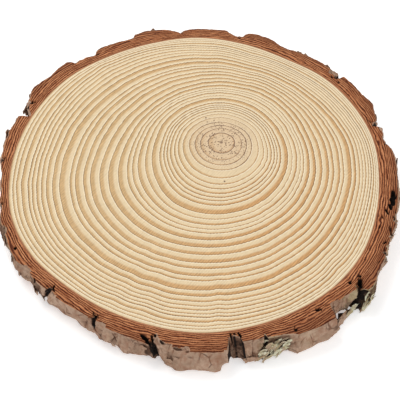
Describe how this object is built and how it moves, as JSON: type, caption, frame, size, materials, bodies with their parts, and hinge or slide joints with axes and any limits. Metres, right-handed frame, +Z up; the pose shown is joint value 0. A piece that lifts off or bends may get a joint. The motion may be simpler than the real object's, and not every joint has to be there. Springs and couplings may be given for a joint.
{
  "type": "wood slice",
  "caption": "Round slice cut across a pine trunk, with smooth pale cut faces that show its growth rings and a rough ring of plated bark. It lies flat as a base, plate or display board.",
  "frame": {"origin": "on the surface that the slice lies on, under the middle of its outline", "axes": "+Z up, square to the cut faces; the thickest bark and the front are towards -Y; the pith lies towards +Y and +X of the middle"},
  "size_m": [0.2588, 0.2654, 0.018],
  "materials": {
    "wood": "sanded, matt, bare end grain",
    "bark": "rough, matt bark"
  },
  "bodies": {
    "root": {"wood": "wood", "bark": "bark"}
  },
  "joints": []
}
